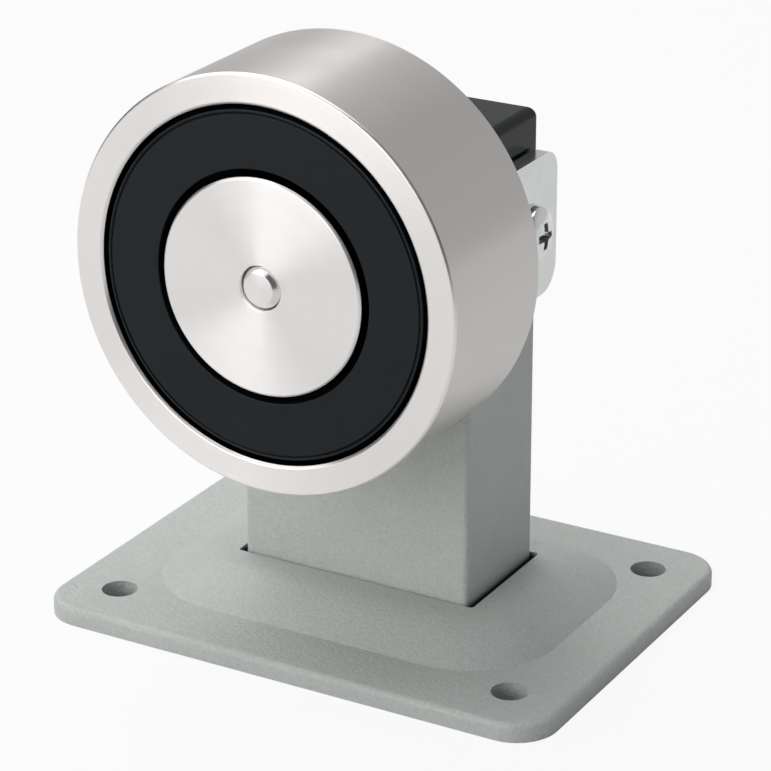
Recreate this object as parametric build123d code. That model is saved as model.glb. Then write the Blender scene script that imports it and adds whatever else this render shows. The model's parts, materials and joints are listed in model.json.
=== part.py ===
from build123d import *
import math
import os

# Electromagnetic door holder: a round holding magnet that tilts on a floor-mounted column.
# Lengths are in millimetres. The origin is the centre of the floor screw rectangle, on the
# underside of the floor plate. +Z is up, and the holding face looks along -Y.

# Floor plate, pressed from one sheet
plate_width = 90.0
plate_depth = 68.0
plate_thickness = 3.0
plate_corner_radius = 7.0
plate_edge_radius = 1.0
hole_spacing_x = 71.0
hole_spacing_y = 48.5
hole_diameter = 5.8

# Raised pad of the floor plate, around the column
pad_width = 70.0
pad_depth = 48.6
pad_height = 4.5
pad_corner_radius = 15.0
pad_flat_margin = 3.0
pad_flat_radius = 6.0
pad_sections = 4
slot_side_clearance = 1.2
slot_front_clearance = 0.3
slot_corner_radius = 0.6

# Column, a rectangular tube welded in under the pad
column_width = 40.7
column_depth = 22.0
column_wall = 2.0
column_corner_radius = 0.9
column_bore_radius = 0.2
column_y = 1.0
column_foot_z = 0.5
cutout_corner_radius = 2.5
weld_leg = 2.3
weld_fit = 0.1
wire_hole_diameter = 9.0

# Magnet head
head_diameter = 65.0
head_length = 26.0
head_z = 65.5
head_gap = 0.5
head_edge_chamfer = 0.5
ring_inner_diameter = 55.5
core_diameter = 33.8
ring_edge_chamfer = 0.4
core_edge_chamfer = 0.35
coil_space_depth = 20.0
spigot_diameter = 15.0

# Coil and the cast face ring over it
bobbin_wall = 1.0
coil_clearance = 0.05
winding_inset = 0.6
face_ring_recess = 0.45
face_ring_thickness = 2.8
face_ring_chamfer = 0.3
pole_gap_width = 1.05
pole_gap_depth = 2.2
core_gap_width = 1.35

# Sprung release pin in the pole core
pin_hole_diameter = 7.0
pin_diameter = 6.5
pin_hole_chamfer = 0.15
pin_proud = 0.5
pin_chamfer_width = 0.8
pin_chamfer_length = 1.1
pin_lip = 3.0
pin_bore_diameter = 9.4
collar_clearance = 0.08
collar_length = 3.0
pin_tail_diameter = 3.6
pin_tail_length = 5.0
spring_wire = 0.7
spring_wire_sides = 6
spring_diameter = 6.2
spring_turns = 6
spring_end_gap = 0.05
plug_length = 6.0
plug_slot_width = 1.2
plug_slot_depth = 1.2
plug_recess = 0.4

# Leads leave the coil through a bushed hole at the back of the pot
lead_radius = 21.5
lead_hole_diameter = 5.0
lead_bush_wall = 1.0
lead_flange_diameter = 7.4
lead_flange_thickness = 1.2

# Swivel bracket, folded from zinc-plated sheet
bracket_sheet = 2.5
bracket_height = 22.8
bracket_bend = 1.2
arm_back_y = 12.7
arm_top_radius = 3.6
arm_bottom_radius = 4.6
pivot_y = 3.7
tilt_limit = 15.0
tilt_clearance = 0.8
friction_washer_thickness = 0.5
friction_washer_diameter = 13.0
running_gap = 0.02
pivot_clearance = 0.05

# Pivot screws with a cross recess, their washers and nuts
pivot_diameter = 5.0
pivot_head_diameter = 8.7
pivot_head_height = 2.4
pivot_dome_radius = 1.5
pivot_recess_span = 4.2
pivot_recess_width = 1.1
pivot_recess_depth = 1.6
washer_diameter = 9.2
washer_thickness = 0.5
nut_flats = 8.0
nut_thickness = 4.0
screw_run_out = 0.6

# Countersunk screws that hold the bracket on the pot
bracket_screw_diameter = 4.0
bracket_screw_spacing = 25.0
bracket_screw_head = 7.6
bracket_screw_depth = 4.6
screw_slot_width = 0.9
screw_slot_depth = 0.8

# Terminal cover, a plastic cap let into the top of the column
cover_cap_height = 6.9
cover_wall = 1.6
cover_fit = 0.2
cover_edge_radius = 1.6
cover_corner_radius = 1.0
cover_skirt_depth = 5.0
cover_seat_drop = 0.7
ledge_gap = 0.5
cover_screw_diameter = 3.0
cover_screw_length = 6.0
cover_screw_head = 5.6
cover_screw_head_height = 1.9
cover_screw_drop = 2.2
boss_wall = 1.3

# Terminal block behind the cover
block_width = 17.0
block_depth = 8.0
block_height = 10.0
block_lift = 4.2
block_edge_radius = 0.8
block_back_wall = 1.2
block_top_wall = 1.0
clamp_width = 4.4
clamp_depth = 4.2
clamp_pitch = 10.4
clamp_inset = 0.5
clamp_wire_bore = 2.6
clamp_screw_diameter = 2.5
clamp_screw_head = 3.6
clamp_screw_head_height = 1.4
clamp_screw_stand = 0.2
clamp_screw_grip = 1.2
clamp_slot = 0.6
block_screw_diameter = 3.0
block_screw_head = 5.0
block_screw_head_height = 1.8
block_screw_sink = 0.2

# Extra length of a cut beyond the piece that it is taken from
overshoot = 1.0

# Places that follow from the sizes above
column_half = column_width / 2
column_front = column_y - column_depth / 2
column_back = column_y + column_depth / 2
inner_half = column_half - column_wall
inner_back = column_back - column_wall
pad_top = plate_thickness + pad_height
slot_half_x = column_half + slot_side_clearance
slot_half_y = column_depth / 2 + slot_front_clearance

head_radius = head_diameter / 2
head_rear_y = column_front - head_gap
face_y = head_rear_y - head_length
ring_radius = ring_inner_diameter / 2
core_radius = core_diameter / 2
spigot_radius = spigot_diameter / 2
pin_bore_radius = pin_bore_diameter / 2
coil_front = face_ring_recess + face_ring_thickness
bobbin_inner = core_radius + coil_clearance
bobbin_tube = bobbin_inner + bobbin_wall
bobbin_flange = ring_radius - coil_clearance

pivot_z = head_z
web_inner_y = head_rear_y + bracket_sheet
arm_inner_x = column_half + friction_washer_thickness + running_gap
arm_outer_x = arm_inner_x + bracket_sheet
bracket_bottom = head_z - bracket_height / 2
bracket_top = head_z + bracket_height / 2
front_wall_top = bracket_bottom - ledge_gap - cover_wall

# The cover stands just clear of the bracket's upper inside edge at the end of its tilt
web_lever = pivot_y - web_inner_y
tilt = math.radians(tilt_limit)
swung_edge_y = pivot_y - web_lever * math.cos(tilt) + (bracket_height / 2) * math.sin(tilt)
cover_front = swung_edge_y + tilt_clearance
cover_half = inner_half - cover_fit
cover_back = inner_back - cover_fit
column_top = bracket_top - cover_seat_drop
cover_top = column_top + cover_cap_height
wall_front = cover_front + cover_fit
cover_screw_z = column_top - cover_screw_drop
block_bottom = front_wall_top + block_lift
block_middle_z = block_bottom + block_height / 2
block_front = inner_back - block_depth
block_top = block_bottom + block_height
block_seat = block_front + block_screw_head_height + block_screw_sink
clamp_front = inner_back - block_back_wall - clamp_depth
clamp_top = block_top - block_top_wall
lead_z = head_z - lead_radius
bracket_screw_places = (-bracket_screw_spacing / 2, bracket_screw_spacing / 2)
clamp_places = (-clamp_pitch / 2, clamp_pitch / 2)


def box(x0, x1, y0, y1, z0, z1):
    """A block between two opposite corners."""
    middle = Pos((x0 + x1) / 2, (y0 + y1) / 2, (z0 + z1) / 2)
    return middle * Box(x1 - x0, y1 - y0, z1 - z0)


def upright(width, depth, radius, y, z0, z1):
    """A block with rounded upright edges, centred on x = 0."""
    return Pos(0, y, z0) * extrude(RectangleRounded(width, depth, radius), z1 - z0)


def rod_y(radius, x, z, y0, y1):
    """A round bar along Y."""
    return Pos(x, (y0 + y1) / 2, z) * Rot(90, 0, 0) * Cylinder(radius, y1 - y0)


def rod_x(radius, y, z, x0, x1):
    """A round bar along X."""
    return Pos((x0 + x1) / 2, y, z) * Rot(0, 90, 0) * Cylinder(radius, x1 - x0)


def turned(outline):
    """A piece turned about the head's axis, from (radius, depth behind the face) points."""
    points = [(radius, face_y + depth) for radius, depth in outline]
    profile = make_face(Polyline(*points, close=True))
    return Pos(0, 0, head_z) * revolve(profile, Axis.Y)


def pivot_turned(outline):
    """A piece turned about the pivot axis, from (x, radius) points."""
    profile = make_face(Polyline(*outline, close=True))
    return Pos(0, pivot_y, pivot_z) * revolve(profile, Axis.X)


def mirrored_pair(piece):
    """The piece on the right-hand side and its mirror image on the left."""
    return [piece, mirror(piece, about=Plane.YZ)]


def pad_form(drop):
    """The raised pad: steep at its outline, easing to a flat around the column."""
    flat_half_x = slot_half_x + pad_flat_margin
    flat_half_y = slot_half_y + pad_flat_margin
    rings = []
    for step in range(pad_sections):
        share = step / (pad_sections - 1)
        width = pad_width - share * (pad_width - 2 * flat_half_x)
        depth = pad_depth - share * (pad_depth - 2 * flat_half_y)
        radius = pad_corner_radius - share * (pad_corner_radius - pad_flat_radius)
        rise = pad_height * math.sin(share * math.pi / 2)
        place = Pos(0, column_y, plate_thickness - drop + rise)
        rings.append(place * RectangleRounded(width, depth, radius))
    return loft(rings)


def make_base_plate():
    flange = extrude(RectangleRounded(plate_width, plate_depth, plate_corner_radius), plate_thickness)
    flange = fillet(flange.faces().sort_by(Axis.Z)[-1].edges(), plate_edge_radius)
    plate = flange + pad_form(0) - pad_form(plate_thickness)
    plate -= upright(
        2 * slot_half_x, 2 * slot_half_y, slot_corner_radius, column_y, -overshoot, pad_top + overshoot
    )
    for place in GridLocations(hole_spacing_x, hole_spacing_y, 2, 2):
        plate -= place * Cylinder(hole_diameter / 2, 4 * plate_thickness)
    return plate


def make_column():
    tube = upright(
        column_width, column_depth, column_corner_radius, column_y, column_foot_z, column_top
    )
    bore_depth = column_depth - 2 * column_wall
    tube -= upright(
        2 * inner_half, bore_depth, column_bore_radius, column_y, 0, column_top + overshoot
    )
    # Above the front wall the tube is open to the front, for the swing of the bracket
    cutout = box(
        -column_width,
        column_width,
        column_front - overshoot,
        wall_front,
        front_wall_top,
        column_top + overshoot,
    )
    cutout = fillet(
        cutout.edges().filter_by(Axis.X).group_by(Axis.Z)[0].sort_by(Axis.Y)[-1:], cutout_corner_radius
    )
    tube -= cutout
    tube -= rod_x(pivot_diameter / 2, pivot_y, pivot_z, -column_width, column_width)
    tube -= rod_y(wire_hole_diameter / 2, 0, lead_z, column_front - overshoot, column_y)
    tube -= rod_y(block_screw_diameter / 2, 0, block_middle_z, column_y, column_back + overshoot)
    tube -= rod_y(cover_screw_diameter / 2, 0, cover_screw_z, column_y, column_back + overshoot)
    return tube


def make_foot_weld():
    """The weld bead in the corner between the column and the underside of the pad."""
    top = pad_top - plate_thickness
    wide = RectangleRounded(
        column_width + 2 * weld_leg, column_depth + 2 * weld_leg, column_corner_radius + weld_leg
    )
    narrow = RectangleRounded(
        column_width + 2 * weld_fit, column_depth + 2 * weld_fit, column_corner_radius + weld_fit
    )
    bead = loft([Pos(0, column_y, top - weld_leg) * narrow, Pos(0, column_y, top) * wide])
    return bead - upright(
        column_width, column_depth, column_corner_radius, column_y, -overshoot, pad_top + overshoot
    )


def make_magnet_pot():
    pot = turned([
        (ring_radius, ring_edge_chamfer),
        (ring_radius + ring_edge_chamfer, 0),
        (head_radius - head_edge_chamfer, 0),
        (head_radius, head_edge_chamfer),
        (head_radius, head_length - head_edge_chamfer),
        (head_radius - head_edge_chamfer, head_length),
        (spigot_radius, head_length),
        (spigot_radius, coil_space_depth),
        (ring_radius, coil_space_depth),
    ])
    beyond = head_rear_y + overshoot
    for x in bracket_screw_places:
        pot -= rod_y(bracket_screw_diameter / 2, x, head_z, head_rear_y - bracket_screw_depth, beyond)
    pot -= rod_y(lead_hole_diameter / 2, 0, lead_z, face_y + coil_space_depth - overshoot, beyond)
    flange_seat = head_rear_y - lead_flange_thickness - plug_recess
    return pot - rod_y(lead_flange_diameter / 2, 0, lead_z, flange_seat, beyond)


def make_pole_core():
    return turned([
        (pin_hole_diameter / 2, pin_hole_chamfer),
        (pin_hole_diameter / 2 + pin_hole_chamfer, 0),
        (core_radius - core_edge_chamfer, 0),
        (core_radius, core_edge_chamfer),
        (core_radius, coil_space_depth),
        (spigot_radius, coil_space_depth),
        (spigot_radius, head_length),
        (pin_bore_radius, head_length),
        (pin_bore_radius, pin_lip),
        (pin_hole_diameter / 2, pin_lip),
    ])


def make_coil_bobbin():
    bobbin = turned([
        (bobbin_inner, coil_front),
        (bobbin_flange, coil_front),
        (bobbin_flange, coil_front + bobbin_wall),
        (bobbin_tube, coil_front + bobbin_wall),
        (bobbin_tube, coil_space_depth - bobbin_wall),
        (bobbin_flange, coil_space_depth - bobbin_wall),
        (bobbin_flange, coil_space_depth),
        (bobbin_inner, coil_space_depth),
    ])
    lead_way = lead_hole_diameter / 2 - lead_bush_wall
    rear = face_y + coil_space_depth
    return bobbin - rod_y(lead_way, 0, lead_z, rear - bobbin_wall - overshoot, rear + overshoot)


def make_coil_winding():
    outer = ring_radius - winding_inset
    return turned([
        (bobbin_tube, coil_front + bobbin_wall),
        (outer, coil_front + bobbin_wall),
        (outer, coil_space_depth - bobbin_wall),
        (bobbin_tube, coil_space_depth - bobbin_wall),
    ])


def make_face_ring():
    """The resin ring. Its top stands between two gaps, one beside each pole."""
    inner = core_radius + core_gap_width
    outer = ring_radius - pole_gap_width
    gap_floor = face_ring_recess + pole_gap_depth
    shoulder = face_ring_recess + face_ring_chamfer
    return turned([
        (core_radius, gap_floor),
        (inner, gap_floor),
        (inner, shoulder),
        (inner + face_ring_chamfer, face_ring_recess),
        (outer - face_ring_chamfer, face_ring_recess),
        (outer, shoulder),
        (outer, gap_floor),
        (ring_radius, gap_floor),
        (ring_radius, coil_front),
        (core_radius, coil_front),
    ])


def make_release_pin():
    pin_radius = pin_diameter / 2
    collar_radius = pin_bore_radius - collar_clearance
    collar_front = pin_lip + running_gap
    collar_back = collar_front + collar_length
    tail_end = collar_back + pin_tail_length
    return turned([
        (0, -pin_proud),
        (pin_radius - pin_chamfer_width, -pin_proud),
        (pin_radius, pin_chamfer_length - pin_proud),
        (pin_radius, collar_front),
        (collar_radius, collar_front),
        (collar_radius, collar_back),
        (pin_tail_diameter / 2, collar_back),
        (pin_tail_diameter / 2, tail_end),
        (0, tail_end),
    ])


def make_release_spring():
    collar_back = pin_lip + running_gap + collar_length
    plug_front = head_length - plug_recess - plug_length
    length = plug_front - collar_back - spring_wire - 2 * spring_end_gap
    coil = Helix(length / spring_turns, length, spring_diameter / 2)
    across = Plane(origin=coil @ 0, z_dir=coil % 0)
    section = across * RegularPolygon(spring_wire / 2, spring_wire_sides)
    wire = sweep(section, path=coil, is_frenet=True)
    start_y = face_y + collar_back + spring_end_gap + spring_wire / 2
    return Pos(0, start_y, head_z) * Rot(-90, 0, 0) * wire


def make_spring_plug():
    rear = head_length - plug_recess
    front = rear - plug_length
    plug = turned([(0, front), (pin_bore_radius, front), (pin_bore_radius, rear), (0, rear)])
    rear_y = face_y + rear
    slot = box(
        -pin_bore_diameter,
        pin_bore_diameter,
        rear_y - plug_slot_depth,
        rear_y + overshoot,
        head_z - plug_slot_width / 2,
        head_z + plug_slot_width / 2,
    )
    return plug - slot


def make_lead_bush():
    front = face_y + coil_space_depth
    rear = head_rear_y - plug_recess
    bush = rod_y(lead_hole_diameter / 2, 0, lead_z, front, rear)
    bush += rod_y(lead_flange_diameter / 2, 0, lead_z, rear - lead_flange_thickness, rear)
    way = lead_hole_diameter / 2 - lead_bush_wall
    return bush - rod_y(way, 0, lead_z, front - overshoot, rear + overshoot)


def countersunk(x):
    """The form of one countersunk bracket screw, without its slot."""
    rear = web_inner_y - running_gap
    head_height = (bracket_screw_head - bracket_screw_diameter) / 2
    front = head_rear_y - bracket_screw_depth
    outline = [
        (0, front),
        (bracket_screw_diameter / 2, front),
        (bracket_screw_diameter / 2, rear - head_height),
        (bracket_screw_head / 2, rear),
        (0, rear),
    ]
    profile = make_face(Polyline(*outline, close=True))
    return Pos(x, 0, head_z) * revolve(profile, Axis.Y)


def make_swivel_bracket():
    """A U folded from sheet: its web lies behind the pot, and its arms reach back along the column."""
    sheet_depth = arm_back_y - head_rear_y
    outer_radius = bracket_bend + bracket_sheet
    far = arm_outer_x + overshoot
    beyond = arm_back_y + sheet_depth + overshoot
    bracket = upright(
        2 * arm_outer_x, 2 * sheet_depth, outer_radius, arm_back_y, bracket_bottom, bracket_top
    )
    bracket -= upright(
        2 * arm_inner_x,
        2 * (sheet_depth - bracket_sheet),
        bracket_bend,
        arm_back_y,
        bracket_bottom - overshoot,
        bracket_top + overshoot,
    )
    bracket -= box(-far, far, arm_back_y, beyond, bracket_bottom - overshoot, bracket_top + overshoot)
    tips = bracket.edges().filter_by(Axis.X).group_by(Axis.Y)[-1]
    bracket = fillet(tips.group_by(Axis.Z)[-1], arm_top_radius)
    tips = bracket.edges().filter_by(Axis.X).group_by(Axis.Y)[-1]
    bracket = fillet(tips.group_by(Axis.Z)[0], arm_bottom_radius)
    bracket -= rod_x(pivot_diameter / 2 + pivot_clearance, pivot_y, pivot_z, -far, far)
    sink = web_inner_y - running_gap
    for x in bracket_screw_places:
        bracket -= countersunk(x)
        bracket -= rod_y(bracket_screw_head / 2, x, head_z, sink, web_inner_y + overshoot)
    return bracket


def make_bracket_screws():
    screws = []
    for x in bracket_screw_places:
        slot = box(
            x - bracket_screw_head,
            x + bracket_screw_head,
            web_inner_y - running_gap - screw_slot_depth,
            web_inner_y + overshoot,
            head_z - screw_slot_width / 2,
            head_z + screw_slot_width / 2,
        )
        screws.append(countersunk(x) - slot)
    return screws


def make_friction_washers():
    start = column_half + running_gap
    return mirrored_pair(pivot_turned([
        (start, pivot_diameter / 2 + pivot_clearance),
        (start, friction_washer_diameter / 2),
        (arm_inner_x, friction_washer_diameter / 2),
        (arm_inner_x, pivot_diameter / 2 + pivot_clearance),
    ]))


def make_pivot_washers():
    start = arm_outer_x + running_gap
    return mirrored_pair(pivot_turned([
        (start, pivot_diameter / 2),
        (start, washer_diameter / 2),
        (start + washer_thickness, washer_diameter / 2),
        (start + washer_thickness, pivot_diameter / 2),
    ]))


def make_pivot_screws():
    under_head = arm_outer_x + running_gap + washer_thickness
    top = under_head + pivot_head_height
    tip = inner_half - nut_thickness - screw_run_out
    screw = pivot_turned([
        (tip, 0),
        (tip, pivot_diameter / 2),
        (under_head, pivot_diameter / 2),
        (under_head, pivot_head_diameter / 2),
        (top, pivot_head_diameter / 2),
        (top, 0),
    ])
    screw = fillet(screw.edges().sort_by(Axis.X)[-1], pivot_dome_radius)
    arm = pivot_recess_span / 2
    blade = pivot_recess_width / 2
    floor = top - pivot_recess_depth
    beyond = top + overshoot
    screw -= box(floor, beyond, pivot_y - arm, pivot_y + arm, pivot_z - blade, pivot_z + blade)
    screw -= box(floor, beyond, pivot_y - blade, pivot_y + blade, pivot_z - arm, pivot_z + arm)
    return mirrored_pair(screw)


def make_pivot_nuts():
    hexagon = RegularPolygon(nut_flats / 2, 6, major_radius=False, rotation=30)
    nut = extrude(Plane.YZ * (hexagon - Circle(pivot_diameter / 2)), nut_thickness)
    return mirrored_pair(Pos(inner_half - nut_thickness, pivot_y, pivot_z) * nut)


def make_terminal_cover():
    cap_depth = column_back - cover_front
    cap_middle = (column_back + cover_front) / 2
    cap = upright(column_width, cap_depth, cover_corner_radius, cap_middle, column_top, cover_top)
    cap = fillet(cap.faces().sort_by(Axis.Z)[-1].edges(), cover_edge_radius)
    skirt_bottom = column_top - cover_skirt_depth
    body = cap + box(-cover_half, cover_half, cover_front, cover_back, skirt_bottom, column_top)
    # The front panel closes the cut-out, and its ledge lies on top of the front wall
    panel_back = cover_front + cover_wall
    ledge_top = front_wall_top + cover_wall
    body += box(-cover_half, cover_half, cover_front, panel_back, front_wall_top, column_top)
    body += box(
        -cover_half,
        cover_half,
        column_front + cover_fit,
        cover_front + cover_wall / 2,
        front_wall_top,
        ledge_top,
    )
    boss_radius = cover_screw_diameter / 2 + boss_wall
    hollow = box(
        -cover_half + cover_wall,
        cover_half - cover_wall,
        panel_back,
        cover_back - cover_wall,
        skirt_bottom - overshoot,
        cover_top - cover_wall,
    )
    body -= hollow
    body += rod_y(boss_radius, 0, cover_screw_z, cover_back - cover_screw_length, cover_back)
    bore_front = cover_back - cover_screw_length - overshoot
    return body - rod_y(cover_screw_diameter / 2, 0, cover_screw_z, bore_front, cover_back + overshoot)


def make_cover_screw():
    head_top = column_back + cover_screw_head_height
    shank_front = cover_back - cover_screw_length + screw_run_out
    shank = rod_y(cover_screw_diameter / 2, 0, cover_screw_z, shank_front, column_back)
    head = rod_y(cover_screw_head / 2, 0, cover_screw_z, column_back, head_top)
    head = fillet(head.edges().sort_by(Axis.Y)[-1], cover_screw_head_height / 2)
    slot = box(
        -cover_screw_head,
        cover_screw_head,
        head_top - screw_slot_depth,
        head_top + overshoot,
        cover_screw_z - screw_slot_width / 2,
        cover_screw_z + screw_slot_width / 2,
    )
    return shank + head - slot


def make_terminal_block():
    half = block_width / 2
    opening = block_front - overshoot
    block = box(-half, half, block_front, inner_back, block_bottom, block_top)
    block = fillet(block.edges().filter_by(Axis.Z).group_by(Axis.Y)[0], block_edge_radius)
    block -= rod_y(block_screw_diameter / 2, 0, block_middle_z, opening, inner_back + overshoot)
    block -= rod_y(block_screw_head / 2, 0, block_middle_z, opening, block_seat)
    for x in clamp_places:
        block -= box(
            x - clamp_width / 2,
            x + clamp_width / 2,
            clamp_front,
            clamp_front + clamp_depth,
            block_bottom - overshoot,
            clamp_top,
        )
        block -= rod_y(clamp_screw_head / 2, x, block_middle_z, opening, clamp_front + running_gap)
    return block


def make_terminal_clamps():
    clamp_middle = clamp_front + clamp_depth / 2
    clamps = []
    for x in clamp_places:
        clamp = box(
            x - clamp_width / 2,
            x + clamp_width / 2,
            clamp_front,
            clamp_front + clamp_depth,
            block_bottom + clamp_inset,
            clamp_top,
        )
        clamp -= Pos(x, clamp_middle, block_middle_z) * Cylinder(clamp_wire_bore / 2, 2 * block_height)
        thread_front = clamp_front - overshoot
        clamp -= rod_y(clamp_screw_diameter / 2, x, block_middle_z, thread_front, clamp_middle)
        clamps.append(clamp)
    return clamps


def make_terminal_screws():
    under_head = clamp_front - clamp_screw_stand
    head_front = under_head - clamp_screw_head_height
    tip = clamp_front + clamp_screw_grip
    screws = []
    for x in clamp_places:
        shank = rod_y(clamp_screw_diameter / 2, x, block_middle_z, under_head, tip)
        head = rod_y(clamp_screw_head / 2, x, block_middle_z, head_front, under_head)
        slot = box(
            x - clamp_screw_head,
            x + clamp_screw_head,
            head_front - overshoot,
            head_front + clamp_slot,
            block_middle_z - clamp_slot / 2,
            block_middle_z + clamp_slot / 2,
        )
        screws.append(shank + head - slot)
    return screws


def make_block_screw():
    head_front = block_seat - block_screw_head_height
    tip = column_back - running_gap
    shank = rod_y(block_screw_diameter / 2, 0, block_middle_z, block_seat, tip)
    head = rod_y(block_screw_head / 2, 0, block_middle_z, head_front, block_seat)
    slot = box(
        -block_screw_head,
        block_screw_head,
        head_front - overshoot,
        head_front + screw_slot_depth,
        block_middle_z - screw_slot_width / 2,
        block_middle_z + screw_slot_width / 2,
    )
    return shank + head - slot


nodes = {
    "base_plate": make_base_plate(),
    "foot_weld": make_foot_weld(),
    "column": make_column(),
    "terminal_cover": make_terminal_cover(),
    "cover_screw": make_cover_screw(),
    "terminal_block": make_terminal_block(),
    "terminal_clamps": make_terminal_clamps(),
    "terminal_screws": make_terminal_screws(),
    "block_screw": make_block_screw(),
    "pivot_screws": make_pivot_screws(),
    "pivot_washers": make_pivot_washers(),
    "pivot_nuts": make_pivot_nuts(),
    "friction_washers": make_friction_washers(),
    "swivel_bracket": make_swivel_bracket(),
    "bracket_screws": make_bracket_screws(),
    "magnet_pot": make_magnet_pot(),
    "pole_core": make_pole_core(),
    "coil_bobbin": make_coil_bobbin(),
    "coil_winding": make_coil_winding(),
    "face_ring": make_face_ring(),
    "lead_bush": make_lead_bush(),
    "release_pin": make_release_pin(),
    "release_spring": make_release_spring(),
    "spring_plug": make_spring_plug(),
}

os.makedirs("parts", exist_ok=True)
for name, piece in nodes.items():
    solids = piece if isinstance(piece, list) else [piece]
    shape = Compound([solid for part in solids for solid in part.solids()])
    export_step(shape, f"parts/{name}.step")
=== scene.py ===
import json
import math

import bmesh
import bpy
from mathutils import Matrix, Vector

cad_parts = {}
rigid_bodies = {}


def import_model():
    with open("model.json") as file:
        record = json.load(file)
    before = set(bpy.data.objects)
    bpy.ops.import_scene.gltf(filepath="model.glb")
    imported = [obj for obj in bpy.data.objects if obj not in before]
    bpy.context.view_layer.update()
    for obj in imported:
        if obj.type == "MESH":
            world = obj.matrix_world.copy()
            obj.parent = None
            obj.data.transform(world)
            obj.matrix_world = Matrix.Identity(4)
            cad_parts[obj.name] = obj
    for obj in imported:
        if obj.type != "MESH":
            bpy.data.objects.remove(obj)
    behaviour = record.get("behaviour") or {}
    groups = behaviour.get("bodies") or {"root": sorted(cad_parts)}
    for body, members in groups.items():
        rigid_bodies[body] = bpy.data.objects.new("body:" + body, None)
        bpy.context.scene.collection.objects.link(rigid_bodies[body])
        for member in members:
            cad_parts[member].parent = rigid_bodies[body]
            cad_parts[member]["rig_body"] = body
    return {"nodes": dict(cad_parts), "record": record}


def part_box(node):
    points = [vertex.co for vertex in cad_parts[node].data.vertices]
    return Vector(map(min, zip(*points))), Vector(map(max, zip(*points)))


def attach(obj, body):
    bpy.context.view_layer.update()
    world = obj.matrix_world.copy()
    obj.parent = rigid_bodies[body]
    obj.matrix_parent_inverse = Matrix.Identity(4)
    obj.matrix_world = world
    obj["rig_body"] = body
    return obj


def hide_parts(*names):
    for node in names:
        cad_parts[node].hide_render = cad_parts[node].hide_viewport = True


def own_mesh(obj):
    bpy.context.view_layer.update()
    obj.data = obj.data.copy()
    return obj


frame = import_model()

# The camera: angles in degrees, lengths in metres, its lens and sensor in millimetres
CAMERA_AZIMUTH = 29.85
CAMERA_ELEVATION = 22.67
CAMERA_ROLL = -0.15
CAMERA_DISTANCE = 0.508
CAMERA_TARGET = Vector((0.0001, 0.0, 0.037))
CAMERA_CLIP = (0.01, 20.0)
CAMERA_LENS = 150.0
CAMERA_SENSOR = 36.0

# Soft boxes: where they stand, in degrees and metres, their width and height, and their radiance
LIGHT_AIM = Vector((0.0, -0.01, 0.05))
LIGHT_DISTANCE = 0.9
SOFT_BOXES = {
    "left": {"azimuth": -95.0, "elevation": 52.0, "size": (0.9, 0.8), "radiance": 1.25},
    "front_left": {"azimuth": -45.0, "elevation": 20.0, "size": (0.5, 0.5), "radiance": 1.2},
    "front": {"azimuth": -9.0, "elevation": 20.0, "size": (0.78, 0.6), "radiance": 2.4},
    "front_right": {"azimuth": 35.0, "elevation": 22.0, "size": (0.5, 0.5), "radiance": 0.1},
    "back_left": {"azimuth": -142.0, "elevation": 60.0, "size": (0.36, 0.5), "radiance": 1.4},
    "top": {"azimuth": -110.0, "elevation": 80.0, "size": (0.9, 0.9), "radiance": 1.32},
}
# The studio's wall: its tone, from low to high, between two places along a direction
WALL_TURN = math.radians(18)
WALL_BEHIND = {"low": 0.0, "high": 0.46, "start": -0.2, "end": 1.0}
WALL_LEFT = {"low": 0.0, "high": 0.12, "start": 0.2, "end": -1.0}
WALL_RIGHT = {"low": 0.0, "high": 0.04, "start": 0.0, "end": 1.0}
# The floor: half its width, its paper's tone, and the share of plain white that the eye and metal
# see in it, which for metal grows with the distance behind the object
FLOOR_HALF = 3.0
PAPER = 0.76
FLOOR_WHITE = 0.9
WHITE_IN_METAL = {"low": 0.02, "high": 0.42, "start": 0.08, "end": 0.48}
# Painted shade on the paper under the base plate, seen through its holes: how far inside the
# plate's edge it starts, a height beyond the object, and its dark tone
FLOOR_INSET = 0.006
COVERED_HEIGHT = 1.0
PAINTED_SHADE_UNDER_PLATE = 0.08

# How far each CAD node's sharp edges are rounded, in metres
EDGE_ROUNDING = {
    "column": 0.00025,
    "terminal_cover": 0.00025,
    "cover_screw": 0.0001,
    "block_screw": 0.0006,
    "pivot_washers": 0.0001,
    "swivel_bracket": 0.0003,
}
BEVEL_SEGMENTS = 3
SHARP_ANGLE = math.radians(28)
FLAT_ANGLE = math.radians(0.5)
MERGE_DISTANCE = 0.000002

# Painted shade in the slot round the column's foot, in metres: how far it reaches beyond the
# column, the depths below the pad's top between which the shade grows dark, and its tone at the
# bottom
SLOT_REACH = 0.00125
SLOT_LIT = 0.00002
SLOT_DARK = 0.0008
SHADE_IN_SLOT = 0.05

# All further sizes are in millimetres
MM = 0.001
LATHE_STEPS = 192
ROUND_STEPS = 4
# The magnet head's radii and chamfers, and its depths behind the holding face
RING_INNER = 27.75
RING_CHAMFER = 0.4
OUTER_CHAMFER = 0.32
REAR_CHAMFER = 0.5
HEAD_LENGTH = 26.0
SPIGOT_RADIUS = 7.5
COIL_SPACE = 20.0
LEAD_RADIUS = 21.5
LEAD_SEAT = (3.7, 1.6)
CORE_RADIUS = 16.9
CORE_CHAMFER = 0.35
PIN_HOLE = 3.5
PIN_HOLE_CHAMFER = 0.15
PIN_HOLE_END = 3.0
PIN_BORE = 4.7
# The release pin: its nose, collar and tail
PIN_PROUD = 0.5
PIN_RADIUS = 3.25
PIN_NOSE_INSET = 0.8
PIN_NOSE_LENGTH = 1.1
COLLAR_FRONT = 3.02
COLLAR_BACK = 6.02
COLLAR_RADIUS = 4.62
TAIL_RADIUS = 1.8
TAIL_END = 11.02
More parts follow.
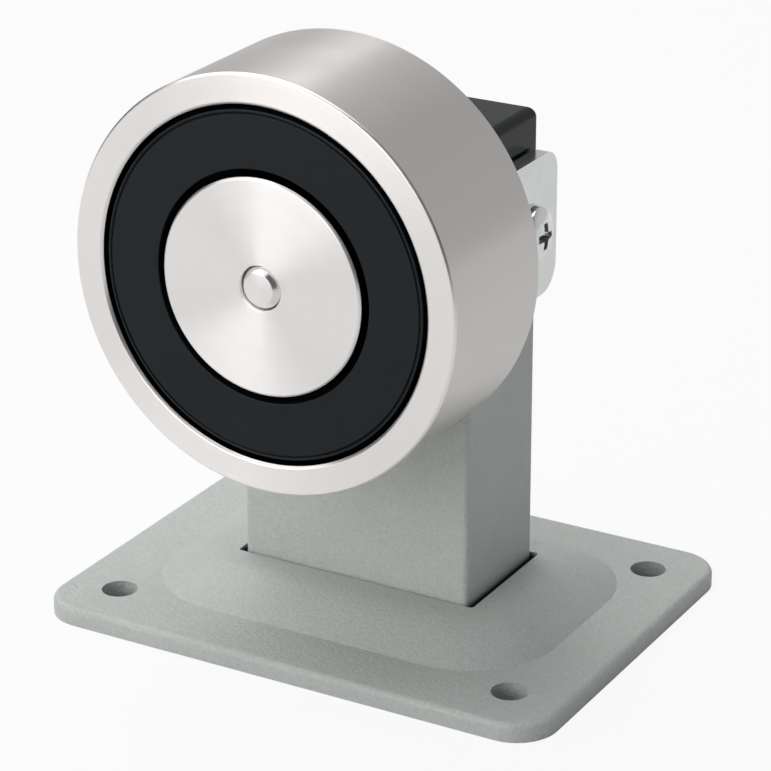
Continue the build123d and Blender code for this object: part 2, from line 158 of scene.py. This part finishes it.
# The resin between the poles: its gaps to them, and the fine groove near its outer edge
RESIN_TOP = 0.45
RESIN_BACK = 3.25
GAP_FLOOR = 2.65
GAP_OUTER = 0.8
GAP_INNER = 1.12
GROOVE_INSET = 0.55
GROOVE_HALF = 0.2
GROOVE_DEPTH = 0.3
# Where the finish changes: how deep the front is faced, where the core's painted shade starts, how
# near to its radius a wall's faces lie, and how deep below the resin's top the gaps are lit above
# painted shade
FACED_DEPTH = 0.45
CORE_WALL_START = 0.4
WALL_BAND = 0.1
LIT_DEPTH = 1.6
# The pivot screws: the shank, the domed head with its rim, and the cross recess, which by these
# shares is wider above the head and narrower at its floor. Faces in it are its walls where their
# normals point outward less than the limit; these walls and the head's rim get painted shade.
SCREW_RADIUS = 2.5
SCREW_HEAD_HEIGHT = 2.4
SCREW_RIM = 0.75
SCREW_UNDERCUT = 0.25
SCREW_LENGTH_IN_NUT = 4.6
DOME_STEPS = 16
DOME_POWER = 2.0
RECESS_SPAN = 4.3
RECESS_WIDTH = 1.2
RECESS_DEPTH = 1.5
RECESS_FLOOR_SHARE = 0.62
RECESS_OVER_HEAD = 0.4
RECESS_TOP_SHARE = 1.12
RECESS_WALL_NORMAL = 0.2
# The release spring
SPRING_WIRE = 0.7
SPRING_TURNS = 6
SPRING_STEPS = 32
WIRE_SIDES = 12

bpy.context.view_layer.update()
slot_of = {row["node"]: row["material_slot"] for row in frame["record"]["subparts"]}
pot_low, pot_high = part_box("magnet_pot")
HEAD_AXIS_Z = (pot_low.z + pot_high.z) / 2


def direction(azimuth, elevation):
    """The unit vector from the object to a place at that azimuth and elevation, in degrees."""
    turn, rise = math.radians(azimuth), math.radians(elevation)
    return Vector((
        math.sin(turn) * math.cos(rise), -math.cos(turn) * math.cos(rise), math.sin(rise)
    ))


def facing(back):
    """The rotation of something that looks along -back with +Z up in its view."""
    return (-back).to_track_quat("-Z", "Y").to_matrix()


def make_camera():
    """The camera of the photograph."""
    back = direction(CAMERA_AZIMUTH, CAMERA_ELEVATION)
    data = bpy.data.cameras.new("camera")
    data.lens = CAMERA_LENS
    data.sensor_width = CAMERA_SENSOR
    data.clip_start, data.clip_end = CAMERA_CLIP
    camera = bpy.data.objects.new("camera", data)
    camera.rotation_mode = "QUATERNION"
    camera.location = CAMERA_TARGET + back * CAMERA_DISTANCE
    roll = Matrix.Rotation(math.radians(CAMERA_ROLL), 3, "Z")
    camera.rotation_quaternion = (facing(back) @ roll).to_quaternion()
    bpy.context.scene.collection.objects.link(camera)
    bpy.context.scene.camera = camera


def make_soft_box(name, azimuth, elevation, size, radiance):
    """A rectangular lamp that looks at the object."""
    back = direction(azimuth, elevation)
    data = bpy.data.lights.new(name, "AREA")
    data.shape = "RECTANGLE"
    data.size, data.size_y = size
    data.energy = radiance * math.pi * size[0] * size[1]
    light = bpy.data.objects.new(name, data)
    light.rotation_mode = "QUATERNION"
    light.location = LIGHT_AIM + back * LIGHT_DISTANCE
    light.rotation_quaternion = facing(back).to_quaternion()
    bpy.context.scene.collection.objects.link(light)


def add(tree, kind, inputs=None, **settings):
    """A shader node with those settings; an input is a value, or a socket to link."""
    made = tree.nodes.new(kind)
    for key, value in settings.items():
        setattr(made, key, value)
    for key, value in (inputs or {}).items():
        if isinstance(value, bpy.types.NodeSocket):
            tree.links.new(value, made.inputs[key])
        else:
            made.inputs[key].default_value = value
    return made


def math_node(tree, operation, first, second=0.0):
    """The result of that operation on two values or sockets."""
    return add(tree, "ShaderNodeMath", {0: first, 1: second}, operation=operation).outputs[0]


def weighted(tree, first, first_weight, second, second_weight):
    """The sum of two values, each times its weight."""
    return math_node(
        tree, "ADD", math_node(tree, "MULTIPLY", first, first_weight),
        math_node(tree, "MULTIPLY", second, second_weight),
    )


def spread(tree, value, low, high, start=0.3, end=0.7, ease="LINEAR"):
    """value, from start to end, spread over low to high."""
    return add(tree, "ShaderNodeMapRange", {
        "Value": value, "From Min": start, "From Max": end, "To Min": low, "To Max": high,
    }, interpolation_type=ease).outputs["Result"]


def noise(tree, where, size, detail=2.0, roughness=0.5, distortion=0.0):
    """Noise whose features are about size metres across, from 0 to 1."""
    return add(tree, "ShaderNodeTexNoise", {
        "Vector": where, "Scale": 1 / size, "Detail": detail, "Roughness": roughness,
        "Distortion": distortion,
    }).outputs["Fac"]


def coordinates(tree, where):
    """The outputs X, Y and Z of that place."""
    return add(tree, "ShaderNodeSeparateXYZ", {"Vector": where}).outputs


def inside(tree, where, low, high):
    """1 where a point lies between the two corners, else 0."""
    part = coordinates(tree, where)
    share = 1.0
    for axis, first, last in zip("XYZ", low, high):
        above = math_node(tree, "GREATER_THAN", part[axis], first)
        share = math_node(tree, "MULTIPLY", share, above)
        below = math_node(tree, "LESS_THAN", part[axis], last)
        share = math_node(tree, "MULTIPLY", share, below)
    return share


def make_world():
    """A grey studio wall, palest behind the object. The camera sees it as white."""
    world = bpy.data.worlds.new("studio")
    world.use_nodes = True
    tree = world.node_tree
    part = coordinates(tree, add(tree, "ShaderNodeTexCoord").outputs["Generated"])
    back = weighted(tree, part["Y"], math.cos(WALL_TURN), part["X"], math.sin(WALL_TURN))
    behind = spread(tree, back, **WALL_BEHIND, ease="SMOOTHSTEP")
    left = spread(tree, part["X"], **WALL_LEFT, ease="SMOOTHSTEP")
    right = spread(tree, part["X"], **WALL_RIGHT, ease="SMOOTHSTEP")
    level = math_node(tree, "ADD", math_node(tree, "ADD", behind, left), right)
    seen = add(tree, "ShaderNodeLightPath").outputs["Is Camera Ray"]
    level = math_node(tree, "MAXIMUM", level, seen)
    tree.links.new(level, tree.nodes["Background"].inputs["Color"])
    bpy.context.scene.world = world


def make_floor():
    """Pale paper that keeps the object's shadow, with some plain white for the eye and metal, and
    painted shade under the base plate.
    """
    mesh = bpy.data.meshes.new("floor")
    corners = [(-1, -1), (1, -1), (1, 1), (-1, 1)]
    mesh.from_pydata([(x * FLOOR_HALF, y * FLOOR_HALF, 0) for x, y in corners], [], [(0, 1, 2, 3)])
    floor = bpy.data.objects.new("floor", mesh)
    bpy.context.scene.collection.objects.link(floor)
    material = bpy.data.materials.new("floor")
    material.use_nodes = True
    tree = material.node_tree
    tree.nodes.clear()
    path = add(tree, "ShaderNodeLightPath").outputs
    direct = math_node(tree, "MAXIMUM", path["Is Camera Ray"], path["Is Transmission Ray"])
    direct = math_node(tree, "MULTIPLY", direct, FLOOR_WHITE)
    where = add(tree, "ShaderNodeTexCoord").outputs["Object"]
    white_in_metal = spread(tree, coordinates(tree, where)["Y"], **WHITE_IN_METAL)
    mirrored = math_node(tree, "MULTIPLY", path["Is Glossy Ray"], white_in_metal)
    share = math_node(tree, "MAXIMUM", direct, mirrored)
    low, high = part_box("base_plate")
    # Painted shade: under the base plate the paper is dark and shows no plain white
    under_plate_shade_mask = inside(
        tree, where, (low.x + FLOOR_INSET, low.y + FLOOR_INSET, -COVERED_HEIGHT),
        (high.x - FLOOR_INSET, high.y - FLOOR_INSET, COVERED_HEIGHT),
    )
    share = math_node(tree, "MULTIPLY", share, math_node(tree, "SUBTRACT", 1.0, under_plate_shade_mask))
    tone = spread(tree, under_plate_shade_mask, PAPER, PAINTED_SHADE_UNDER_PLATE, 0.0, 1.0)
    paper = add(tree, "ShaderNodeBsdfDiffuse", {"Color": tone})
    white = add(tree, "ShaderNodeEmission", {"Color": (1, 1, 1, 1), "Strength": 1.0})
    mix = add(tree, "ShaderNodeMixShader", {0: share, 1: paper.outputs[0], 2: white.outputs[0]})
    add(tree, "ShaderNodeOutputMaterial", {"Surface": mix.outputs[0]})
    mesh.materials.append(material)


def new_finish(name, color, roughness, metallic=0.0, **sockets):
    """A material, its nodes, its shader, and where on the object a point lies, in metres."""
    material = bpy.data.materials.new(name)
    material.use_nodes = True
    tree = material.node_tree
    shader = tree.nodes["Principled BSDF"]
    shader.inputs["Base Color"].default_value = (*color, 1)
    shader.inputs["Roughness"].default_value = roughness
    shader.inputs["Metallic"].default_value = metallic
    for key, value in sockets.items():
        shader.inputs[key.replace("_", " ")].default_value = value
    where = add(tree, "ShaderNodeTexCoord").outputs["Object"]
    return material, tree, shader, where


def shade(tree, shader, color, value, low, high, dark=None):
    """The base colour, made darker and lighter by value, and given painted shade where the share
    dark is 1.
    """
    level = spread(tree, value, low, high)
    if dark is not None:
        kept = spread(tree, dark, 1.0, SHADE_IN_SLOT, 0.0, 1.0)
        level = math_node(tree, "MULTIPLY", level, kept)
    tinted = add(tree, "ShaderNodeVectorMath", {0: (*color,), "Scale": level}, operation="SCALE")
    tree.links.new(tinted.outputs[0], shader.inputs["Base Color"])


def roughen(tree, shader, value, low, high):
    """The roughness, varied by value."""
    tree.links.new(spread(tree, value, low, high), shader.inputs["Roughness"])


def bump(tree, shader, height, distance):
    """Fine relief of that height, up to distance metres deep."""
    made = add(tree, "ShaderNodeBump", {"Height": height, "Distance": distance, "Strength": 1.0})
    tree.links.new(made.outputs["Normal"], shader.inputs["Normal"])


def groove_place(tree, where):
    """Where a point lies across the turning marks: its distance from the head's axis plus depth."""
    part = coordinates(tree, where)
    rise = math_node(tree, "SUBTRACT", part["Z"], HEAD_AXIS_Z)
    radius = math_node(tree, "SQRT", weighted(tree, part["X"], part["X"], rise, rise))
    across = math_node(tree, "ADD", radius, part["Y"])
    return add(tree, "ShaderNodeCombineXYZ", {"X": across}).outputs[0]


def turned_steel(name, color, roughness, anisotropy, mark_size=0.0, mark_depth=0.0):
    """Steel with faint turned bands round the head's axis, and fine marks if they have a depth."""
    material, tree, shader, where = new_finish(
        name, color, roughness, 1.0, Anisotropic=anisotropy, Anisotropic_Rotation=0.25
    )
    round_axis = add(tree, "ShaderNodeTangent", direction_type="RADIAL", axis="Y").outputs[0]
    tree.links.new(round_axis, shader.inputs["Tangent"])
    across = groove_place(tree, where)
    bands = noise(tree, across, size=0.0021, detail=2.0, roughness=0.6)
    cloud = noise(tree, where, size=0.009, detail=3.0, roughness=0.55)
    level = weighted(tree, bands, 0.55, cloud, 0.45)
    shade(tree, shader, color, level, 0.985, 1.015)
    roughen(tree, shader, level, roughness - 0.015, roughness + 0.02)
    if mark_depth:
        bump(tree, shader, noise(tree, across, mark_size), mark_depth)
    return material


def powder_coat(name):
    """Finely wrinkled grey paint, with painted shade in the slot round the column's foot."""
    color = (0.538, 0.565, 0.545)
    material, tree, shader, where = new_finish(name, color, roughness=0.45)
    wrinkles = noise(tree, where, size=0.00055, detail=2.0, roughness=0.55, distortion=0.4)
    cloud = noise(tree, where, size=0.02, detail=3.0)
    tone = weighted(tree, wrinkles, 0.7, cloud, 0.3)
    low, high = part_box("column")
    pad_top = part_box("base_plate")[1].z
    # Painted shade: the coat grows dark below the pad's top in the slot round the column
    near_column = inside(
        tree, where, (low.x - SLOT_REACH, low.y - SLOT_REACH, 0.0),
        (high.x + SLOT_REACH, high.y + SLOT_REACH, pad_top),
    )
    height = coordinates(tree, where)["Z"]
    sunk = spread(tree, height, 1.0, 0.0, pad_top - SLOT_DARK, pad_top - SLOT_LIT)
    gap = math_node(tree, "MULTIPLY", near_column, sunk)
    shade(tree, shader, color, tone, 0.9, 1.1, gap)
    roughen(tree, shader, wrinkles, 0.36, 0.56)
    bump(tree, shader, wrinkles, 0.0002)
    return material


def black_resin(name):
    """Cast resin: smooth, with a faint waviness."""
    color = (0.0062, 0.0092, 0.0118)
    material, tree, shader, where = new_finish(name, color, roughness=0.3, Specular_IOR_Level=0.22)
    roughen(tree, shader, noise(tree, where, size=0.008, detail=3.0), 0.27, 0.34)
    shade(tree, shader, color, noise(tree, where, size=0.011), 0.85, 1.15)
    bump(tree, shader, noise(tree, where, size=0.004), 0.000006)
    return material


def moulded_plastic(name, color, roughness, grain, depth, specular=0.5):
    """Plastic with a fine grain of that size and depth, in metres."""
    material, tree, shader, where = new_finish(name, color, roughness, Specular_IOR_Level=specular)
    patches = noise(tree, where, size=0.004, detail=3.0, roughness=0.6)
    roughen(tree, shader, patches, roughness - 0.04, roughness + 0.06)
    shade(tree, shader, color, noise(tree, where, size=0.012), 0.94, 1.06)
    bump(tree, shader, noise(tree, where, grain), depth)
    return material


def plated(name, color, roughness, grain, depth, contrast=0.05):
    """Bright plating over metal, with a faint cloudiness and a fine grain."""
    material, tree, shader, where = new_finish(name, color, roughness, metallic=1.0)
    cloud = noise(tree, where, size=0.0035, detail=4.0, roughness=0.6)
    shade(tree, shader, color, cloud, 1 - contrast, 1 + contrast)
    roughen(tree, shader, cloud, roughness + 0.05, roughness - 0.04)
    bump(tree, shader, noise(tree, where, grain, detail=3.0, roughness=0.6), depth)
    return material


def wound_copper(name):
    """Enamelled wire, wound in layers: fine ridges along the coil's axis."""
    color = (0.58, 0.25, 0.11)
    material, tree, shader, where = new_finish(
        name, color, roughness=0.32, metallic=1.0, Coat_Weight=0.4
    )
    ridges = add(tree, "ShaderNodeTexWave", {
        "Vector": where, "Scale": 700.0, "Distortion": 0.3,
    }, bands_direction="Y").outputs["Fac"]
    shade(tree, shader, color, noise(tree, where, size=0.003), 0.85, 1.1)
    bump(tree, shader, ridges, 0.0001)
    return material


def make_finishes():
    """All materials by name, each from its function and the values that go into it."""
    rows = {
        "powder_coat": (powder_coat,),
        "nickel": (turned_steel, (0.775, 0.75, 0.73), 0.30, 0.75, 0.0004, 0.0000006),
        "faced_nickel": (turned_steel, (0.935, 0.91, 0.893), 0.32, 0.75),
        "face_steel": (turned_steel, (0.95, 0.93, 0.915), 0.33, 0.86),
        "pin_steel": (turned_steel, (0.92, 0.905, 0.895), 0.29, 0.5),
        "black_resin": (black_resin,),
        # Painted shade: near-black for the deep gaps between the head's poles
        "gap_black": (moulded_plastic, (0.0012, 0.0014, 0.0016), 0.6, 0.0008, 0.00001, 0.05),
        "black_plastic": (moulded_plastic, (0.0045, 0.0066, 0.0082), 0.15, 0.0012, 0.000004, 0.26),
        "bobbin_plastic": (moulded_plastic, (0.68, 0.64, 0.56), 0.45, 0.0008, 0.00001),
        "terminal_plastic": (moulded_plastic, (0.62, 0.61, 0.55), 0.4, 0.0007, 0.00001),
        "washer_plastic": (moulded_plastic, (0.66, 0.65, 0.60), 0.42, 0.0008, 0.00001),
        "rubber": (moulded_plastic, (0.018, 0.018, 0.018), 0.7, 0.0005, 0.00002),
        "zinc": (plated, (0.87, 0.895, 0.89), 0.17, 0.003, 0.000004, 0.03),
        "screw_steel": (plated, (0.95, 0.96, 0.965), 0.1, 0.0018, 0.00007, 0.03),
        # Painted shade: darker steel for the screws' cross recesses and head rims
        "recess_steel": (plated, (0.22, 0.225, 0.23), 0.3, 0.001, 0.00001, 0.03),
        "spring_steel": (plated, (0.55, 0.54, 0.53), 0.28, 0.0003, 0.000004),
        # Bare steel, made much darker than bare steel as painted shade where it shows in the slot
        # round the column's foot
        "raw_steel": (plated, (0.16, 0.155, 0.15), 0.5, 0.0008, 0.00006, 0.25),
        "brass": (plated, (0.72, 0.55, 0.25), 0.26, 0.0004, 0.000004),
        "copper": (wound_copper,),
    }
    return {name: make(name, *values) for name, (make, *values) in rows.items()}


def softened(name):
    """Stands for a CAD node: the same form with its sharp edges rounded."""
    shape = bmesh.new()
    shape.from_mesh(frame["nodes"][name].data)
    bmesh.ops.remove_doubles(shape, verts=shape.verts, dist=MERGE_DISTANCE)
    bmesh.ops.dissolve_limit(
        shape, angle_limit=FLAT_ANGLE, verts=shape.verts, edges=shape.edges
    )
    sharp = [
        edge for edge in shape.edges
        if len(edge.link_faces) == 2 and edge.calc_face_angle() > SHARP_ANGLE
    ]
    bmesh.ops.bevel(
        shape, geom=sharp, offset=EDGE_ROUNDING[name], offset_type="OFFSET",
        segments=BEVEL_SEGMENTS, profile=0.5, affect="EDGES", clamp_overlap=True,
    )
    finish_piece(name, shape)


def rounded(outline):
    """The outline with its corners rounded, from (radius, depth, rounding) points."""
    points = []
    for index, (radius, depth, rounding) in enumerate(outline):
        corner = Vector((radius, depth))
        if rounding == 0:
            points.append(corner)
            continue
        before = (Vector(outline[index - 1][:2]) - corner).normalized() * rounding
        following = outline[(index + 1) % len(outline)]
        after = (Vector(following[:2]) - corner).normalized() * rounding
        for step in range(ROUND_STEPS + 1):
            share = step / ROUND_STEPS
            points.append(corner + before * (1 - share) ** 2 + after * share ** 2)
    return points


def lathe(shape, points, origin, axis):
    """Turns (radius, depth) points in millimetres about the axis that goes from the origin."""
    across = Vector((1, 0, 0)) if axis.y else Vector((0, 1, 0))
    rings = []
    for point in points:
        ring = []
        for step in range(LATHE_STEPS if point.x > 0 else 1):
            angle = 2 * math.pi * (step + 0.5) / LATHE_STEPS
            spoke = across * math.sin(angle) + Vector((0, 0, math.cos(angle)))
            ring.append(shape.verts.new(origin + (axis * point.y + spoke * point.x) * MM))
        rings.append(ring)
    for first, second in zip(rings, rings[1:] + rings[:1]):
        for step in range(LATHE_STEPS):
            corners = []
            for ring, place in (
                (first, step), (first, step + 1), (second, step + 1), (second, step)
            ):
                corner = ring[place % len(ring)]
                if corner not in corners:
                    corners.append(corner)
            if len(corners) > 2:
                shape.faces.new(corners)
    bmesh.ops.recalc_face_normals(shape, faces=shape.faces)


def turned(name, outline, finish=None):
    """Stands for a node of the head: a (radius, depth, rounding) outline turned about its axis."""
    shape = bmesh.new()
    lathe(shape, rounded(outline), Vector((0, pot_low.y, HEAD_AXIS_Z)), Vector((0, 1, 0)))
    return finish_piece(name, shape, finish)


def finish_piece(name, shape, finish=None):
    """Makes the shape an object that stands for the node, with its finish, on its body."""
    for face in shape.faces:
        face.smooth = True
    mesh = bpy.data.meshes.new(name + "_body")
    shape.to_mesh(mesh)
    shape.free()
    piece = bpy.data.objects.new(name + "_body", mesh)
    bpy.context.scene.collection.objects.link(piece)
    piece.modifiers.new("normals", "WEIGHTED_NORMAL")
    mesh.materials.append(finishes[finish or slot_of[name]])
    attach(piece, frame["nodes"][name]["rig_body"])
    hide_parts(name)
    return piece


def repaint(piece, finish, chosen):
    """Gives that finish to the piece's faces that are chosen."""
    piece.data.materials.append(finishes[finish])
    for face in piece.data.polygons:
        if chosen(face):
            face.material_index = len(piece.data.materials) - 1


def darken_gap(piece, inner, outer, depth):
    """Paints shade into the gap: the near-black finish on the piece's faces between those radii and
    below that depth.
    """
    def in_gap(face):
        radius = math.hypot(face.center.x, face.center.z - HEAD_AXIS_Z) / MM
        return inner < radius < outer and face.center.y > pot_low.y + depth * MM

    repaint(piece, "gap_black", in_gap)


def cut_out(piece, shape):
    """Cuts the closed form out of the piece."""
    mesh = bpy.data.meshes.new("cutter")
    shape.to_mesh(mesh)
    shape.free()
    cutter = bpy.data.objects.new("cutter", mesh)
    bpy.context.scene.collection.objects.link(cutter)
    piece.modifiers.clear()
    cut = piece.modifiers.new("hole", "BOOLEAN")
    cut.operation = "DIFFERENCE"
    cut.object = cutter
    cut.solver = "EXACT"
    evaluated = piece.evaluated_get(bpy.context.evaluated_depsgraph_get())
    result = bpy.data.meshes.new_from_object(evaluated)
    piece.modifiers.clear()
    piece.data = result
    bpy.data.objects.remove(cutter)
    piece.modifiers.new("normals", "WEIGHTED_NORMAL")


def drill(piece, radius, depth, x, z):
    """A blind hole in the piece's rear, of that radius and depth in metres."""
    rear_y = max(corner[1] for corner in piece.bound_box)
    shape = bmesh.new()
    bmesh.ops.create_cone(
        shape, cap_ends=True, segments=LATHE_STEPS // 4, radius1=radius, radius2=radius,
        depth=2 * depth,
        matrix=Matrix.Translation((x, rear_y, z)) @ Matrix.Rotation(math.pi / 2, 4, "X"),
    )
    cut_out(piece, shape)


def make_head():
    """The turned pieces: the pot, the core, the resin ring and the release pin."""
    pot_radius = (pot_high.z - pot_low.z) / 2 / MM
    pot = turned("magnet_pot", [
        (RING_INNER, RING_CHAMFER, 0.1),
        (RING_INNER + RING_CHAMFER, 0, 0.12),
        (pot_radius - OUTER_CHAMFER, 0, 0.12),
        (pot_radius, OUTER_CHAMFER, 0.14),
        (pot_radius, HEAD_LENGTH - REAR_CHAMFER, 0.2),
        (pot_radius - REAR_CHAMFER, HEAD_LENGTH, 0.16),
        (SPIGOT_RADIUS, HEAD_LENGTH, 0),
        (SPIGOT_RADIUS, COIL_SPACE, 0),
        (RING_INNER, COIL_SPACE, 0),
    ])
    repaint(pot, "faced_nickel", lambda face: face.center.y < pot_low.y + FACED_DEPTH * MM)
    # Painted shade on the pot's wall deep in the outer gap
    darken_gap(pot, RING_INNER - WALL_BAND, RING_INNER + WALL_BAND, FACED_DEPTH)
    drill(pot, LEAD_SEAT[0] * MM, LEAD_SEAT[1] * MM, 0.0, HEAD_AXIS_Z - LEAD_RADIUS * MM)
    core = turned("pole_core", [
        (PIN_HOLE, PIN_HOLE_CHAMFER, 0),
        (PIN_HOLE + PIN_HOLE_CHAMFER, 0, 0),
        (CORE_RADIUS - CORE_CHAMFER, 0, 0.12),
        (CORE_RADIUS, CORE_CHAMFER, 0.12),
        (CORE_RADIUS, COIL_SPACE, 0),
        (SPIGOT_RADIUS, COIL_SPACE, 0),
        (SPIGOT_RADIUS, HEAD_LENGTH, 0),
        (PIN_BORE, HEAD_LENGTH, 0),
        (PIN_BORE, PIN_HOLE_END, 0),
        (PIN_HOLE, PIN_HOLE_END, 0),
    ])
    # Painted shade on the core's wall deep in the inner gap
    darken_gap(core, CORE_RADIUS - WALL_BAND, CORE_RADIUS + WALL_BAND, CORE_WALL_START)
    resin_outer = RING_INNER - GAP_OUTER
    groove = resin_outer - GROOVE_INSET
    ring = turned("face_ring", [
        (CORE_RADIUS, GAP_FLOOR, 0),
        (CORE_RADIUS + GAP_INNER, GAP_FLOOR, 0.2),
        (CORE_RADIUS + GAP_INNER, RESIN_TOP, 0.22),
        (groove - GROOVE_HALF, RESIN_TOP, 0.06),
        (groove, RESIN_TOP + GROOVE_DEPTH, 0.05),
        (groove + GROOVE_HALF, RESIN_TOP, 0.06),
        (resin_outer, RESIN_TOP, 0.2),
        (resin_outer, GAP_FLOOR, 0.2),
        (RING_INNER, GAP_FLOOR, 0),
        (RING_INNER, RESIN_BACK, 0),
        (CORE_RADIUS, RESIN_BACK, 0),
    ])
    # Painted shade on the resin's walls and floors deep in both gaps
    darken_gap(ring, CORE_RADIUS, RING_INNER, RESIN_TOP + LIT_DEPTH)
    turned("release_pin", [
        (0, -PIN_PROUD, 0),
        (PIN_RADIUS - PIN_NOSE_INSET, -PIN_PROUD, 0.05),
        (PIN_RADIUS, PIN_NOSE_LENGTH - PIN_PROUD, 0.06),
        (PIN_RADIUS, COLLAR_FRONT, 0),
        (COLLAR_RADIUS, COLLAR_FRONT, 0),
        (COLLAR_RADIUS, COLLAR_BACK, 0.1),
        (TAIL_RADIUS, COLLAR_BACK, 0),
        (TAIL_RADIUS, TAIL_END, 0.15),
        (0, TAIL_END, 0),
    ], "pin_steel")


def cross_recess(shape, side, top, centre):
    """A tapered cross, from over the screw's head down to the recess's floor."""
    rows = []
    for height, share in (
        (RECESS_OVER_HEAD, RECESS_TOP_SHARE), (-RECESS_DEPTH, RECESS_FLOOR_SHARE)
    ):
        arm, blade = RECESS_SPAN / 2 * share, RECESS_WIDTH / 2 * share
        corners = [
            (arm, blade), (blade, blade), (blade, arm),
            (-blade, arm), (-blade, blade), (-arm, blade),
        ]
        corners += [(-y, -z) for y, z in corners]
        rows.append([
            shape.verts.new(centre + Vector((side * (top + height), y, z)) * MM)
            for y, z in corners
        ])
    for index in range(len(rows[0])):
        after = (index + 1) % len(rows[0])
        shape.faces.new((rows[0][index], rows[0][after], rows[1][after], rows[1][index]))
    for row in rows:
        for block in ((0, 1, 2, 3, 4, 5), (6, 7, 8, 9, 10, 11), (0, 5, 6, 11)):
            shape.faces.new([row[place] for place in block])
    bmesh.ops.recalc_face_normals(shape, faces=shape.faces)


def make_pivot_screws():
    """Pan-head screws with a domed head and a cross recess, one on each side, with painted shade in
    the recess and on the rim.
    """
    low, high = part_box("pivot_screws")
    centre = Vector((0, (low.y + high.y) / 2, (low.z + high.z) / 2))
    radius = (high.z - low.z) / 2 / MM
    top = high.x / MM
    under = top - SCREW_HEAD_HEIGHT
    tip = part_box("pivot_nuts")[1].x / MM - SCREW_LENGTH_IN_NUT
    outline = [
        Vector((0, tip)), Vector((SCREW_RADIUS, tip)), Vector((SCREW_RADIUS, under)),
        Vector((radius - SCREW_UNDERCUT, under)), Vector((radius, under + SCREW_UNDERCUT)),
    ]
    dome = SCREW_HEAD_HEIGHT - SCREW_RIM
    for step in range(DOME_STEPS + 1):
        share = math.sin(step / DOME_STEPS * math.pi / 2)
        out = radius * (1 - share ** DOME_POWER) ** (1 / DOME_POWER)
        outline.append(Vector((out, under + SCREW_RIM + dome * share)))
    shape, recess = bmesh.new(), bmesh.new()
    for side in (1, -1):
        lathe(shape, outline, centre, Vector((side, 0, 0)))
        cross_recess(recess, side, top, centre)
    screws = finish_piece("pivot_screws", shape)
    cut_out(screws, recess)

    # Painted shade: the recess walls and the head's rim get the darker steel
    def dark(face):
        out = math.hypot(face.center.y - centre.y, face.center.z - centre.z) / MM
        height = abs(face.center.x) / MM - under
        outward = face.normal.x * math.copysign(1, face.center.x)
        in_recess = outward < RECESS_WALL_NORMAL and out < RECESS_SPAN / 2
        on_rim = out > SCREW_RADIUS and height < SCREW_RIM
        return height > 0 and (in_recess or on_rim)

    repaint(screws, "recess_steel", dark)


def make_release_spring():
    """A round-wire spring."""
    low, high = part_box("release_spring")
    wire = SPRING_WIRE / 2 * MM
    radius = (high.x - low.x) / 2 - wire
    first, last = low.y + wire, high.y - wire
    shape = bmesh.new()
    rings = []
    steps = SPRING_TURNS * SPRING_STEPS
    for step in range(steps + 1):
        turn = 2 * math.pi * step / SPRING_STEPS
        outward = Vector((math.sin(turn), 0, math.cos(turn)))
        along = first + (last - first) * step / steps
        middle = Vector((0, along, HEAD_AXIS_Z)) + outward * radius
        ring = []
        for side in range(WIRE_SIDES):
            angle = 2 * math.pi * side / WIRE_SIDES
            spoke = outward * math.cos(angle) + Vector((0, 1, 0)) * math.sin(angle)
            ring.append(shape.verts.new(middle + spoke * wire))
        rings.append(ring)
    for before, after in zip(rings, rings[1:]):
        for side in range(WIRE_SIDES):
            other = (side + 1) % WIRE_SIDES
            shape.faces.new((before[side], before[other], after[other], after[side]))
    for end in (rings[0], rings[-1]):
        shape.faces.new(end)
    bmesh.ops.recalc_face_normals(shape, faces=shape.faces)
    spring = finish_piece("release_spring", shape)
    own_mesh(spring)


finishes = make_finishes()
make_camera()
make_world()
make_floor()
for box_name, box_values in SOFT_BOXES.items():
    make_soft_box(box_name, **box_values)

for node_name, node in frame["nodes"].items():
    for place in node.material_slots:
        place.material = finishes[slot_of[node_name]]
    if node_name in EDGE_ROUNDING:
        softened(node_name)
make_head()
make_pivot_screws()
make_release_spring()

bpy.context.scene.view_settings.view_transform = "Standard"
